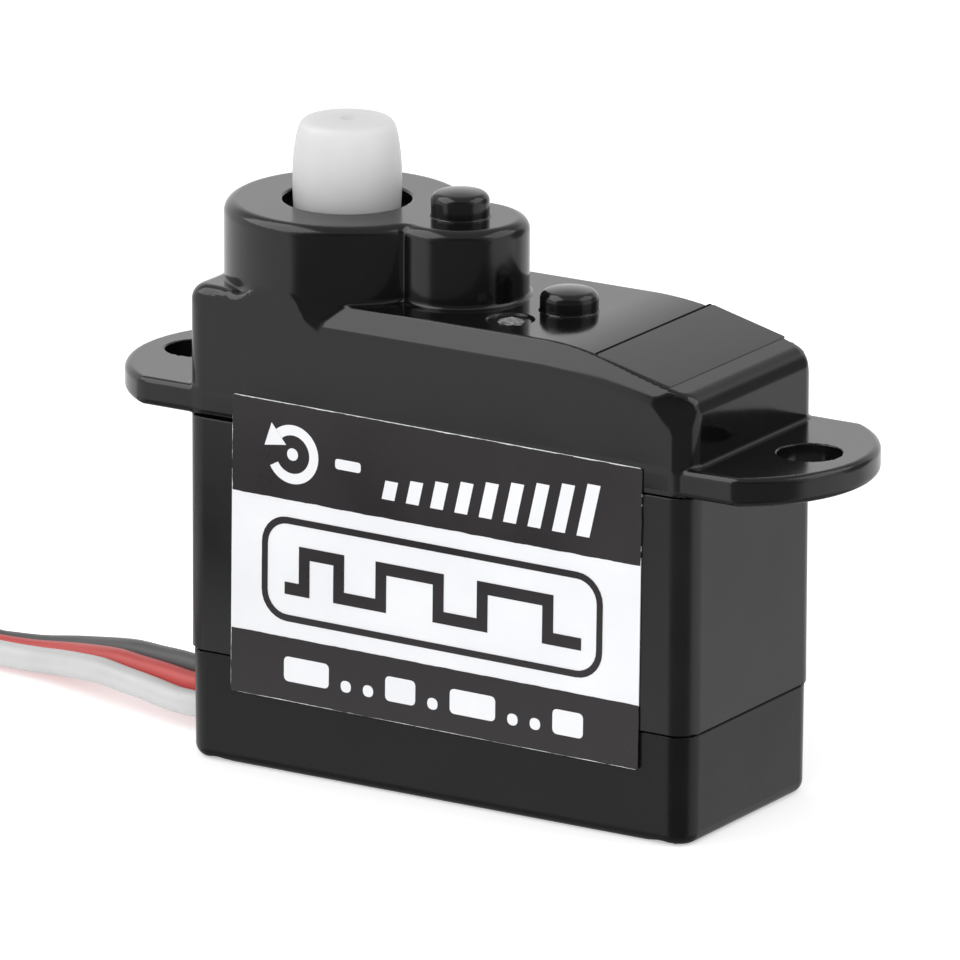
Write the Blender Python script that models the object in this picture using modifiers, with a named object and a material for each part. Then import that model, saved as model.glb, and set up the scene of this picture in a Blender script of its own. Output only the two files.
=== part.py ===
"""Ultra-micro servo motor with a three-part case, gear train, motor, potentiometer and lead.

Frame: origin at the centre of the base's underside, +X along the case away from the output
shaft, +Y across it (the label is on the -Y face), +Z along the output shaft. Lengths are in
millimetres and become metres where the geometry is made.
"""
import math

import bmesh
import bpy
from mathutils import Matrix, Vector

MM = 0.001
FINE = 1e-7           # merge distance in metres
FLAT = 0.001          # faces that meet at a smaller angle are one flat face

# Case: outer size and the heights of its two seams
LENGTH = 16.7
WIDTH = 6.96
WALL = 0.55
CORNER = 0.7
SEAM_LOW = 3.216
SEAM_HIGH = 10.13
DECK = 13.9
SEAM_GAP = 0.03
FLOOR = 0.6
DRAFT = 0.04          # how far the cap stands back from the middle case

# Output axis, gear pins and motor axis, all on the plane Y = 0
OUTPUT_X = -5.057
PIN_1_X = -1.3
PIN_2_X = 2.3
MOTOR_X = 4.85

# Top case
BOSS_R = 3.42
SMALL_BOSS_R = 1.9
BOSS_TOP = 16.14
BOSS_ROUND = 0.4
BOSS_CAVITY_R = 2.97
SMALL_CAVITY_R = 1.5
BOSS_CEILING = 15.5
CEILING = 13.3
LOW_CEILING = 12.3
SHAFT_HOLE_R = 1.825
CAP_R = 0.83
CAP_HEIGHT = 0.72
FACET_START_X = 4.4
FACET_END_X = 7.45
FACET_END_Z = 13.15

# Mounting ears
EAR_REACH = 11.8
EAR_TIP_R = 4.0
EAR_THICK = 0.85
EAR_STEP = 0.02       # how far the ears' undersides stand above the seam
EAR_ROOT = (8.6, 3.3)  # half length and half width of the land where both ears meet the case
EAR_HOLE_X = 10.13
EAR_HOLE_R = 0.912

# Middle case
PLATE_LOW = 8.9
PLATE_TOP = 9.5

# Case screws, one in each corner
SCREW_X = 7.35
SCREW_Y = 2.55
POST_R = 0.85
SCREW_R = 0.36
SCREW_HEAD_R = 0.68
SCREW_TOP = 12.4

# Gears: module and tooth numbers of the five meshes, and their heights
MODULE_FIRST = 0.15
MODULE_TRAIN = 0.2
MODULE_LAST = 0.25
TEETH_MOTOR = 8
TEETH_FIRST = 26
TEETH_WHEEL = 26
TEETH_PINION = 10
TEETH_LAST = 9
TEETH_OUTPUT = 21
PRESSURE = math.radians(25)
TOOTH_SHARE = 0.86    # tooth thickness as a share of half the pitch
PIN_R = 0.36
GEAR_BORE_R = 0.41
SHAFT_TOP = 18.45
OUTPUT_LOW = 13.6
OUTPUT_HIGH = 15.2

# Motor
MOTOR_R = 2.5
MOTOR_LOW = 3.3
MOTOR_HIGH = 8.85
MOTOR_SHAFT_R = 0.3

# Potentiometer
POT_R = 2.4
POT_LOW = 5.2
POT_HIGH = 8.0

# Circuit board
BOARD_LOW = 2.0
BOARD_HIGH = 2.45

# Lead: three wires side by side, seen as one flat ribbon
WIRE_R = 0.35
RIBBON_HALF = 2 * WIRE_R
ROLL_START = 40       # degrees that the ribbon is rolled where it leaves the case
ROLL_FADE = 1.8       # it lies flat after 1 / 1.8 of that piece's length
EXIT_Y = -0.85
EXIT_Z = 1.33
NOTCH_HALF = 0.95
NOTCH_HALF_HEIGHT = 0.87
COIL = (-27.0, -8.1)
COIL_LOW = 0.34
COIL_HIGH = 1.04
COIL_OUT_R = 12.0
COIL_IN_R = 6.5
TIE_ANGLE = math.radians(150)

# The lead's way from the circuit board to the coil, then from the coil to the connector
LEAD_ROUTE = [(-7.9, -0.85, 1.34), (-8.35, -0.85, 1.32), (-9.1, -0.84, 1.25),
              (-9.8, -0.77, 1.2), (-10.9, -0.47, 1.21), (-12.0, -0.13, 1.17),
              (-12.9, 0.15, 1.07), (-13.8, 0.45, 0.96), (-14.7, 0.75, 0.83),
              (-15.6, 1.07, 0.67), (-16.85, 1.45, 0.47), (-18.2, 1.87, 0.38)]
TAIL_ROUTE = [(-31.7, -15.15, 1.42), (-30.0, -18.0, 1.45), (-28.4, -20.15, 1.42),
              (-27.1, -21.35, 1.35), (-25.5, -22.15, 0.75), (-23.5, -22.55, 0.8),
              (-21.35, -22.63, 1.25)]

# Connector: a three-way housing of 2.54 mm pitch, on the far end of the lead
PITCH = 2.54
PLUG_SIZE = (14.0, 7.7, 2.6)
PLUG_TURN = math.radians(-4)
PLUG_BACK = (-21.0, -22.65)

BLACK = (0.02, 0.02, 0.022)
NYLON = (0.72, 0.71, 0.68)
STEEL = (0.5, 0.5, 0.52)
COPPER = (0.7, 0.3, 0.12)
BRASS = (0.75, 0.55, 0.2)
GREEN = (0.02, 0.15, 0.06)
CARBON = (0.03, 0.03, 0.035)


def empty_scene():
    """Remove every object that is already in the scene."""
    for old in list(bpy.data.objects):
        bpy.data.objects.remove(old, do_unlink=True)


def collection(name):
    """Make a collection in the scene."""
    made = bpy.data.collections.new(name)
    bpy.context.scene.collection.children.link(made)
    return made


def material(name, colour, roughness=0.5, metallic=0.0):
    """Make a plain Principled material, or fetch it if it is already there."""
    made = bpy.data.materials.get(name)
    if made is None:
        made = bpy.data.materials.new(name)
        made.use_nodes = True
        shader = made.node_tree.nodes["Principled BSDF"]
        shader.inputs["Base Color"].default_value = (*colour, 1)
        shader.inputs["Roughness"].default_value = roughness
        shader.inputs["Metallic"].default_value = metallic
        made.diffuse_color = (*colour, 1)
    return made


def add(name, mesh, into):
    """Link a new object that holds the mesh."""
    made = bpy.data.objects.new(name, mesh)
    into.objects.link(made)
    return made


def finish(bm, name, into):
    """Turn a bmesh into an object with outward faces."""
    bmesh.ops.recalc_face_normals(bm, faces=bm.faces)
    mesh = bpy.data.meshes.new(name)
    bm.to_mesh(mesh)
    bm.free()
    return add(name, mesh, into)


def paint(piece, look):
    """Give a piece its material and shade its round sides smooth."""
    piece.data.materials.append(look)
    piece.data.shade_smooth()
    piece.data.set_sharp_from_angle(angle=math.radians(35))
    return piece


def curve_to_mesh(curve_piece, name, into):
    """Replace a curve object by a welded mesh object in the same place."""
    bpy.context.view_layer.update()
    evaluated = curve_piece.evaluated_get(bpy.context.evaluated_depsgraph_get())
    mesh = bpy.data.meshes.new_from_object(evaluated)
    bm = bmesh.new()
    bm.from_mesh(mesh)
    bmesh.ops.remove_doubles(bm, verts=bm.verts, dist=FINE)
    bmesh.ops.dissolve_limit(bm, angle_limit=FLAT, verts=bm.verts, edges=bm.edges)
    bm.transform(curve_piece.matrix_world)
    bpy.data.objects.remove(curve_piece)
    return finish(bm, name, into)


def plate(name, into, outlines, low, high, edge_round=0.0, rounded=("low", "high")):
    """Extrude flat outlines (the first is the outside, the rest are holes) from low to high."""
    flat = bpy.data.curves.new(name, "CURVE")
    flat.dimensions = "2D"
    flat.fill_mode = "BOTH"
    flat.extrude = (high - low) * MM / 2
    for outline in outlines:
        spline = flat.splines.new("POLY")
        spline.points.add(len(outline) - 1)
        spline.use_cyclic_u = True
        for point, (x, y) in zip(spline.points, outline):
            point.co = (x * MM, y * MM, 0, 1)
    guide = add(name + "_outline", flat, into)
    guide.location.z = (low + high) * MM / 2
    piece = curve_to_mesh(guide, name, into)
    if edge_round:
        heights = [{"low": low, "high": high}[side] * MM for side in rounded]
        round_rims(piece, heights, edge_round)
    return piece


def round_rims(piece, heights, size, segments=2):
    """Round the outer rims of a plate that lie at the given heights in metres."""
    bm = bmesh.new()
    bm.from_mesh(piece.data)
    rims = []
    for edge in bm.edges:
        level = [abs(vert.co.z - height) < FINE for height in heights for vert in edge.verts]
        pairs = zip(level[::2], level[1::2])
        if any(a and b for a, b in pairs):
            rims.append(edge)
    bmesh.ops.bevel(bm, geom=rims, offset=size * MM, segments=segments, profile=0.5, affect="EDGES")
    bm.to_mesh(piece.data)
    bm.free()


def drum(name, into, x, y, low, high, radius, sides=32, top_round=0.0):
    """An upright cylinder, its top edge rounded if asked."""
    bm = bmesh.new()
    middle = Matrix.Translation((x * MM, y * MM, (low + high) * MM / 2))
    bmesh.ops.create_cone(bm, cap_ends=True, segments=sides, radius1=radius * MM,
                          radius2=radius * MM, depth=(high - low) * MM, matrix=middle)
    piece = finish(bm, name, into)
    if top_round:
        round_rims(piece, [high * MM], top_round)
    return piece


def block(name, into, x, y, z, bevel=0.0):
    """A box between the pairs of limits x, y and z, its edges bevelled if asked."""
    bm = bmesh.new()
    centre = Vector([(pair[0] + pair[1]) * MM / 2 for pair in (x, y, z)])
    size = Vector([(pair[1] - pair[0]) * MM for pair in (x, y, z)])
    bmesh.ops.create_cube(bm, size=1, matrix=Matrix.Translation(centre) @ Matrix.Diagonal((*size, 1)))
    if bevel:
        bmesh.ops.bevel(bm, geom=bm.edges[:], offset=bevel * MM, segments=1, affect="EDGES")
    return finish(bm, name, into)


def turned(name, into, x, profile, sides=32):
    """Turn a profile of (radius, height) about the upright axis at x; it runs top to bottom."""
    mesh = bpy.data.meshes.new(name)
    verts = [(radius * MM, 0, height * MM) for radius, height in profile]
    closed = profile[0][0] > 0
    edges = [(i, i + 1) for i in range(len(verts) - 1)]
    if closed:
        edges.append((len(verts) - 1, 0))
    mesh.from_pydata(verts, edges, [])
    piece = add(name, mesh, into)
    piece.location.x = x * MM
    screw = piece.modifiers.new("Turn", "SCREW")
    screw.steps = sides
    screw.render_steps = sides
    screw.use_merge_vertices = True
    screw.merge_threshold = FINE
    return piece


def boolean(piece, others, operation, name):
    """Add Boolean modifiers and mark the other objects as guides."""
    for other in others:
        step = piece.modifiers.new(name, "BOOLEAN")
        step.operation = operation
        step.object = other
        other.hide_render = True
        other.display_type = "WIRE"
    return piece


def join(piece, *others):
    """Join other bodies to a piece."""
    return boolean(piece, others, "UNION", "Join")


def cut(piece, *others):
    """Cut other bodies out of a piece."""
    return boolean(piece, others, "DIFFERENCE", "Cut")


def arc(x, y, radius, start, end, count):
    """Points on an arc, angles in degrees."""
    angles = [math.radians(start + (end - start) * i / count) for i in range(count + 1)]
    return [(x + radius * math.cos(angle), y + radius * math.sin(angle)) for angle in angles]


def polar(x, radius, angle):
    """The point at a radius and an angle in degrees about (x, 0)."""
    return x + radius * math.cos(math.radians(angle)), radius * math.sin(math.radians(angle))


def circle(x, y, radius, count=24):
    """Points on a full circle."""
    return arc(x, y, radius, 0, 360, count)[:-1]


def rounded_box(half_x, half_y, radius, count=4):
    """A rectangle about the origin with round corners."""
    x, y = half_x - radius, half_y - radius
    corners = [(x, y, 0), (-x, y, 90), (-x, -y, 180), (x, -y, 270)]
    return [point for cx, cy, start in corners
            for point in arc(cx, cy, radius, start, start + 90, count)]


def involute(angle):
    """The involute function."""
    return math.tan(angle) - angle


def gear_outline(x, teeth, module, phase, addendum=0.9, dedendum=1.15):
    """A spur gear's outline: each tooth has root, base and tip points on both flanks."""
    pitch = teeth * module / 2
    base = pitch * math.cos(PRESSURE)
    radii = [pitch - dedendum * module, max(base, pitch - 0.3 * module), pitch + addendum * module]
    half = math.pi / (2 * teeth) * TOOTH_SHARE + involute(PRESSURE)
    flank = []
    for radius in radii:
        pressure = math.acos(min(1, base / max(radius, base)))
        flank.append((radius, max(half - involute(pressure), 0.02)))
    outline = []
    for tooth in range(teeth):
        centre = phase + 2 * math.pi * tooth / teeth
        right = [(radius, centre - angle) for radius, angle in flank]
        left = [(radius, centre + angle) for radius, angle in reversed(flank)]
        outline += [(x + radius * math.cos(angle), radius * math.sin(angle))
                    for radius, angle in right + left]
    return outline


def gap_towards(angle, teeth):
    """The phase that turns the middle of a tooth gap towards an angle."""
    return angle + math.pi / teeth


def smooth_path(route, step):
    """Points about one step apart on a smooth curve through the route's points."""
    points = [Vector(point) for point in route]
    points = [2 * points[0] - points[1]] + points + [2 * points[-1] - points[-2]]
    path = []
    for before, start, end, after in zip(points, points[1:], points[2:], points[3:]):
        count = max(1, round((end - start).length / step))
        for i in range(count):
            t = i / count
            path.append(0.5 * (2 * start + (end - before) * t
                               + (2 * before - 5 * start + 4 * end - after) * t ** 2
                               + (3 * start - before - 3 * end + after) * t ** 3))
    return path + [points[-2]]


def case_profile(low):
    """Side view of the top case's body: shoulder, deck, facet and rounded end."""
    half = LENGTH / 2
    shoulder = arc(-half + 0.5, DECK - 0.5, 0.5, 180, 90, 4)
    facet = [(FACET_START_X, DECK), (FACET_END_X, FACET_END_Z)]
    end = arc(half - 0.75, FACET_END_Z - 0.98, 0.75, 62, 0, 4)
    below = [(half, low), (-half, low)]
    return shoulder + facet + end + below


def ear_outline():
    """Plan view of the plate that makes both ears."""
    half = WIDTH / 2 - 0.03
    centre = EAR_REACH - EAR_TIP_R
    turn = math.degrees(math.asin(half / EAR_TIP_R))
    right = arc(centre, 0, EAR_TIP_R, -turn, turn, 12)
    return right + arc(-centre, 0, EAR_TIP_R, 180 - turn, 180 + turn, 12)


def make_top_case(parts, guides, look):
    """Ears, body, bosses and pin caps in one moulding, hollow for the gears."""
    low = SEAM_HIGH + SEAM_GAP
    outline = rounded_box(LENGTH / 2, WIDTH / 2, CORNER)
    body = plate("top_case", parts, [outline], low, DECK + 1)
    side_view = plate("side_view", guides, [case_profile(low - 1)], -WIDTH, WIDTH)
    side_view.data.transform(Matrix.Rotation(math.pi / 2, 4, "X"))
    end_view = [(-4.3, -5.4), (4.3, -5.4), (4.3, -1.37), (2.6, 0.33), (-2.6, 0.33), (-4.3, -1.37)]
    slope = math.atan2(DECK - FACET_END_Z, FACET_END_X - FACET_START_X)
    limits = []
    for name, turn in (("deck_edges", 0), ("facet_edges", slope)):
        limit = plate(name, guides, [end_view], -2 * LENGTH, 2 * LENGTH)
        along_x = Matrix.Rotation(math.pi / 2, 4, "Z") @ Matrix.Rotation(math.pi / 2, 4, "X")
        corner = Matrix.Translation((FACET_START_X * MM, 0, DECK * MM))
        limit.data.transform(corner @ Matrix.Rotation(turn, 4, "Y") @ along_x)
        limits.append(limit)
    boolean(body, [side_view, *limits], "INTERSECT", "Shape")

    ears = plate("ear_plate", guides, [ear_outline()], low + EAR_STEP, SEAM_HIGH + EAR_THICK, 0.22)
    root_x, root_y = EAR_ROOT
    root_top = SEAM_HIGH + EAR_THICK + 0.05
    roots = block("ear_roots", guides, (-root_x, root_x), (-root_y, root_y), (low, root_top))
    boss = drum("boss", guides, OUTPUT_X, 0, low + 1, BOSS_TOP, BOSS_R, 40, BOSS_ROUND)
    small_boss = drum("small_boss", guides, PIN_1_X, 0, low + 1, BOSS_TOP, SMALL_BOSS_R, 28, BOSS_ROUND)
    cap_1 = drum("pin_cap_1", guides, PIN_1_X, 0, BOSS_TOP - 0.5, BOSS_TOP + CAP_HEIGHT, CAP_R, 16, 0.2)
    cap_2 = drum("pin_cap_2", guides, PIN_2_X, 0, DECK - 0.3, DECK + CAP_HEIGHT, CAP_R, 16, 0.2)
    join(body, ears, roots, boss, small_boss, cap_1, cap_2)

    inside = rounded_box(LENGTH / 2 - WALL, WIDTH / 2 - WALL, 0.3)
    room = plate("gear_room", guides, [inside], low - 1, LOW_CEILING)
    high = [(-LENGTH / 2 + WALL, -WIDTH / 2 + WALL), (FACET_START_X - 0.4, -WIDTH / 2 + WALL),
            (FACET_START_X - 0.4, WIDTH / 2 - WALL), (-LENGTH / 2 + WALL, WIDTH / 2 - WALL)]
    high_room = plate("high_gear_room", guides, [high], LOW_CEILING - 0.5, CEILING)
    boss_room = drum("boss_room", guides, OUTPUT_X, 0, CEILING - 1, BOSS_CEILING, BOSS_CAVITY_R, 28)
    pin_room = drum("pin_room", guides, PIN_1_X, 0, CEILING - 1, BOSS_CEILING, SMALL_CAVITY_R, 20)
    shaft_hole = drum("shaft_hole", guides, OUTPUT_X, 0, BOSS_CEILING - 0.5, BOSS_TOP + 1, SHAFT_HOLE_R, 32)
    pin_hole_1 = drum("pin_hole_1", guides, PIN_1_X, 0, BOSS_CEILING - 0.5, BOSS_TOP + 0.3, PIN_R + 0.03, 16)
    pin_hole_2 = drum("pin_hole_2", guides, PIN_2_X, 0, CEILING - 0.5, DECK + 0.3, PIN_R + 0.03, 16)
    ear_holes = [drum("ear_hole", guides, side * EAR_HOLE_X, 0, low - 1, low + 3, EAR_HOLE_R, 24)
                 for side in (-1, 1)]
    cut(body, room, high_room, boss_room, pin_room, shaft_hole, pin_hole_1, pin_hole_2, *ear_holes)

    for x, y in screw_places():
        top = 13.5 if x < 0 else 12.5
        post = drum("top_post", guides, x, y, low, top, POST_R, 12)
        hole = drum("top_post_hole", guides, x, y, low - 1, SCREW_TOP + 0.1, SCREW_R + 0.04, 10)
        join(body, post)
        cut(body, hole)
    return paint(body, look)


def screw_places():
    """The four corners where the case screws stand."""
    return [(x, y) for x in (-SCREW_X, SCREW_X) for y in (-SCREW_Y, SCREW_Y)]


def make_middle_case(parts, guides, look):
    """The tube between the seams, with the gear plate across its top."""
    low, high = SEAM_LOW + SEAM_GAP, SEAM_HIGH
    case = plate("middle_case", parts, [rounded_box(LENGTH / 2, WIDTH / 2, CORNER)], low, high)
    inside = rounded_box(LENGTH / 2 - WALL, WIDTH / 2 - WALL, 0.3)
    below = plate("motor_room", guides, [inside], low - 1, PLATE_LOW)
    above = plate("plate_recess", guides, [inside], PLATE_TOP, high + 1)
    holes = [drum("plate_hole", guides, x, 0, PLATE_LOW - 0.5, PLATE_TOP + 0.5, radius, 24)
             for x, radius in ((MOTOR_X, 0.95), (OUTPUT_X, 0.91),
                               (PIN_1_X, PIN_R + 0.03), (PIN_2_X, PIN_R + 0.03))]
    cut(case, below, above, *holes)
    for x, y in screw_places():
        post = drum("middle_post", guides, x, y, low, high, POST_R, 12)
        hole = drum("middle_post_hole", guides, x, y, low - 1, high + 1, SCREW_R + 0.04, 10)
        join(case, post)
        cut(case, hole)
    return paint(case, look)


def make_bottom_cap(parts, guides, look):
    """The tray that closes the bottom, with the wire window and the screw heads' recesses."""
    outline = rounded_box(LENGTH / 2 - DRAFT, WIDTH / 2 - DRAFT, CORNER)
    cap = plate("bottom_cap", parts, [outline], 0, SEAM_LOW, 0.3, ("low",))
    inside = rounded_box(LENGTH / 2 - WALL, WIDTH / 2 - WALL, 0.3)
    tray = plate("board_room", guides, [inside], FLOOR, SEAM_LOW + 1)
    window = block("wire_window", guides, (-LENGTH / 2 - 1, -LENGTH / 2 + WALL + 0.1),
                   (EXIT_Y - NOTCH_HALF, EXIT_Y + NOTCH_HALF),
                   (EXIT_Z - NOTCH_HALF_HEIGHT, EXIT_Z + NOTCH_HALF_HEIGHT))
    cut(cap, tray, window)
    for x, y in screw_places():
        post = drum("cap_post", guides, x, y, 0.1, SEAM_LOW, POST_R, 12)
        hole = drum("cap_post_hole", guides, x, y, -1, SEAM_LOW + 1, SCREW_R + 0.04, 10)
        recess = drum("cap_recess", guides, x, y, -1, 0.75, SCREW_HEAD_R + 0.05, 16)
        join(cap, post)
        cut(cap, hole, recess)
    return paint(cap, look)


def make_label(parts, look):
    """The stuck-on front label, turned by half a degree."""
    tilt = math.radians(-0.6)
    outline = [(x * math.cos(tilt) - y * math.sin(tilt), x * math.sin(tilt) + y * math.cos(tilt))
               for x, y in ((-6.74, -4.37), (6.74, -4.37), (6.74, 4.37), (-6.74, 4.37))]
    label = plate("front_label", parts, [outline], 0, 0.06)
    upright = Matrix.Rotation(math.pi / 2, 4, "X")
    label.data.transform(Matrix.Translation((0.06 * MM, (-WIDTH / 2 - 0.02) * MM, 6.56 * MM)) @ upright)
    return paint(label, look)


def make_screws(parts, look):
    """Four long self-tapping screws that hold the three case parts together."""
    for i, (x, y) in enumerate(screw_places()):
        profile = [(0, SCREW_TOP), (0.12, SCREW_TOP), (SCREW_R, SCREW_TOP - 0.5), (SCREW_R, 0.77),
                   (SCREW_HEAD_R, 0.72), (SCREW_HEAD_R, 0.35), (0.45, 0.2), (0.3, 0.2),
                   (0.2, 0.42), (0, 0.42)]
        screw = turned("case_screw_%d" % (i + 1), parts, x, profile, 12)
        screw.location.y = y * MM
        paint(screw, look)


def make_gears(parts, guides, look):
    """The output gear with its shaft, four compound gears and the motor's pinion."""
    heights = {
        "first_gear": (PIN_2_X, TEETH_FIRST, MODULE_FIRST, (9.75, 10.45), TEETH_PINION, MODULE_TRAIN, 11.25),
        "second_gear": (PIN_1_X, TEETH_WHEEL, MODULE_TRAIN, (10.55, 11.2), TEETH_PINION, MODULE_TRAIN, 12.0),
        "third_gear": (PIN_2_X, TEETH_WHEEL, MODULE_TRAIN, (11.3, 11.95), TEETH_PINION, MODULE_TRAIN, 12.75),
        "fourth_gear": (PIN_1_X, TEETH_WHEEL, MODULE_TRAIN, (12.05, 12.7), TEETH_LAST, MODULE_LAST, 15.3),
    }
    for name, (x, wheel_teeth, wheel_module, (low, high), teeth, module, top) in heights.items():
        right_hand = x == PIN_2_X
        wheel_phase = math.pi if right_hand else 0
        wheel_phase = 0 if name == "first_gear" else gap_towards(wheel_phase, wheel_teeth)
        pinion_phase = math.pi if right_hand or name == "fourth_gear" else 0
        gear = plate(name, parts, [gear_outline(x, wheel_teeth, wheel_module, wheel_phase)], low, high)
        teeth_outline = gear_outline(x, teeth, module, pinion_phase)
        pinion = plate(name + "_pinion", guides, [teeth_outline], low + 0.3, top)
        bore = drum(name + "_bore", guides, x, 0, low - 1, top + 1, GEAR_BORE_R, 16)
        join(gear, pinion)
        cut(gear, bore)
        paint(gear, look)

    output_phase = gap_towards(0, TEETH_OUTPUT)
    outline = gear_outline(OUTPUT_X, TEETH_OUTPUT, MODULE_LAST, output_phase)
    output = plate("output_gear", parts, [outline], OUTPUT_LOW, OUTPUT_HIGH)
    shaft = turned("output_shaft", guides, OUTPUT_X,
                   [(0, SHAFT_TOP), (1.24, SHAFT_TOP), (1.36, SHAFT_TOP - 0.12), (1.46, SHAFT_TOP - 0.9),
                    (1.55, SHAFT_TOP - 1.7), (1.53, BOSS_TOP), (1.53, OUTPUT_HIGH - 0.3),
                    (0.86, OUTPUT_HIGH - 0.6), (0.86, PLATE_LOW + 0.2), (0, PLATE_LOW + 0.2)], 40)
    screw_hole = drum("horn_screw_hole", guides, OUTPUT_X, 0, SHAFT_TOP - 3, SHAFT_TOP + 1, 0.45, 20)
    socket = drum("pot_socket", guides, OUTPUT_X, 0, PLATE_LOW - 1, 10.6, 0.45, 20)
    join(output, shaft)
    cut(output, screw_hole, socket)
    paint(output, look)


def make_gear_pins(parts, look):
    """The two steel pins that the compound gears turn on."""
    for name, x, top in (("gear_pin_1", PIN_1_X, BOSS_TOP + 0.2), ("gear_pin_2", PIN_2_X, DECK + 0.2)):
        paint(drum(name, parts, x, 0, PLATE_LOW + 0.05, top, PIN_R, 16), look)


def sector(radius_in, radius_out, start, end, x=0.0, count=12):
    """Outline of a piece of a ring."""
    return arc(x, 0, radius_out, start, end, count) + arc(x, 0, radius_in, end, start, count)


def make_motor(parts, guides, steel, plastic, copper, dark, nylon):
    """A small brushed motor: fixed can, magnets and brushes, and the rotor that turns in them."""
    x = MOTOR_X
    can = turned("motor_can", parts, x,
                 [(MOTOR_SHAFT_R + 0.05, 9.35), (0.85, 9.35), (0.85, MOTOR_HIGH), (2.3, MOTOR_HIGH),
                  (MOTOR_R, MOTOR_HIGH - 0.2), (MOTOR_R, MOTOR_LOW), (2.25, MOTOR_LOW),
                  (2.25, MOTOR_HIGH - 0.25), (MOTOR_SHAFT_R + 0.05, MOTOR_HIGH - 0.25)], 28)
    paint(can, steel)
    end_cap = turned("motor_end_cap", parts, x,
                     [(0.36, 3.9), (2.21, 3.9), (2.21, 3.26), (MOTOR_R, 3.26), (MOTOR_R, 2.9),
                      (0.36, 2.9)], 28)
    paint(end_cap, plastic)
    for name, side in (("motor_magnet_1", 0), ("motor_magnet_2", 180)):
        outline = sector(1.8, 2.2, side - 62, side + 62, x, 10)
        paint(plate(name, parts, [outline], 4.4, 8.2), dark)

    poles = []
    for pole in range(3):
        middle = 120 * pole + 90
        poles += arc(x, 0, 0.62, middle - 42, middle - 14, 2)
        poles += [polar(x, 1.3, middle - 7)]
        poles += arc(x, 0, 1.65, middle - 48, middle + 48, 8)
        poles += [polar(x, 1.3, middle + 7)]
        poles += arc(x, 0, 0.62, middle + 14, middle + 42, 2)
    armature = plate("motor_armature", parts, [poles, circle(x, 0, MOTOR_SHAFT_R + 0.03, 16)], 5.0, 7.6)
    paint(armature, steel)
    for pole in range(3):
        outer = [(-0.42, -1.6), (0.42, -1.6), (0.42, 1.6), (-0.42, 1.6)]
        inner = [(-0.22, -1.36), (0.22, -1.36), (0.22, 1.36), (-0.22, 1.36)]
        winding = plate("motor_winding_%d" % (pole + 1), parts, [outer, inner], 0.72, 1.15)
        stand = (Matrix.Translation((x * MM, 0, 6.3 * MM))
                 @ Matrix.Rotation(math.radians(120 * pole + 90), 4, "Z")
                 @ Matrix.Rotation(math.pi / 2, 4, "Y") @ Matrix.Rotation(math.pi / 2, 4, "Z"))
        winding.data.transform(stand)
        paint(winding, copper)
    commutator = plate("motor_commutator", parts,
                       [circle(x, 0, 0.5, 16), circle(x, 0, MOTOR_SHAFT_R + 0.03, 16)], 3.95, 4.6)
    paint(commutator, copper)
    paint(drum("motor_shaft", parts, x, 0, 3.0, 10.6, MOTOR_SHAFT_R, 16), steel)
    pinion_phase = gap_towards(math.pi, TEETH_MOTOR)
    pinion = plate("motor_pinion", parts,
                   [gear_outline(x, TEETH_MOTOR, MODULE_FIRST, pinion_phase, 0.9, 0.95),
                    circle(x, 0, MOTOR_SHAFT_R + 0.02, 12)], 9.68, 10.52)
    paint(pinion, nylon)
    for name, side in (("motor_brush_1", -1), ("motor_brush_2", 1)):
        edges = sorted((side * 0.53, side * 0.65))
        paint(block(name, parts, (x - 1.4, x + 0.25), edges, (4.1, 4.45)), copper)
    for name, side in (("motor_terminal_1", -1), ("motor_terminal_2", 1)):
        edges = sorted((side * 1.5, side * 1.75))
        paint(block(name, parts, (x - 0.45, x + 0.45), edges, (2.48, 2.87)), copper)


def make_potentiometer(parts, guides, dark, board, carbon, copper, nylon):
    """The position sensor under the output shaft."""
    x = OUTPUT_X
    housing = turned("pot_housing", parts, x,
                     [(0.46, 8.7), (0.85, 8.7), (0.85, POT_HIGH), (POT_R - 0.1, POT_HIGH),
                      (POT_R, POT_HIGH - 0.1), (POT_R, POT_LOW), (2.15, POT_LOW),
                      (2.15, POT_HIGH - 0.25), (0.46, POT_HIGH - 0.25)], 28)
    paint(housing, dark)
    paint(drum("pot_base", parts, x, 0, POT_LOW, POT_LOW + 0.35, 2.1, 32), board)
    ring = sector(1.15, 1.75, -135, 135, x, 20)
    track = plate("pot_track", parts, [ring], POT_LOW + 0.38, POT_LOW + 0.46)
    paint(track, carbon)
    rotor = turned("pot_rotor", parts, x,
                   [(0, 10.3), (0.42, 10.3), (0.42, 6.3), (1.7, 6.3), (1.7, 6.0), (0, 6.0)], 24)
    paint(rotor, nylon)
    wiper = block("pot_wiper", parts, (x - 0.15, x + 0.15), (-1.6, -1.2), (POT_LOW + 0.49, 5.97))
    paint(wiper, copper)
    for i, y in enumerate((-1.3, 0, 1.3)):
        pin = drum("pot_pin_%d" % (i + 1), parts, x + 0.9, y, BOARD_HIGH + 0.03, POT_LOW - 0.03, 0.18, 10)
        paint(pin, copper)


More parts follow.
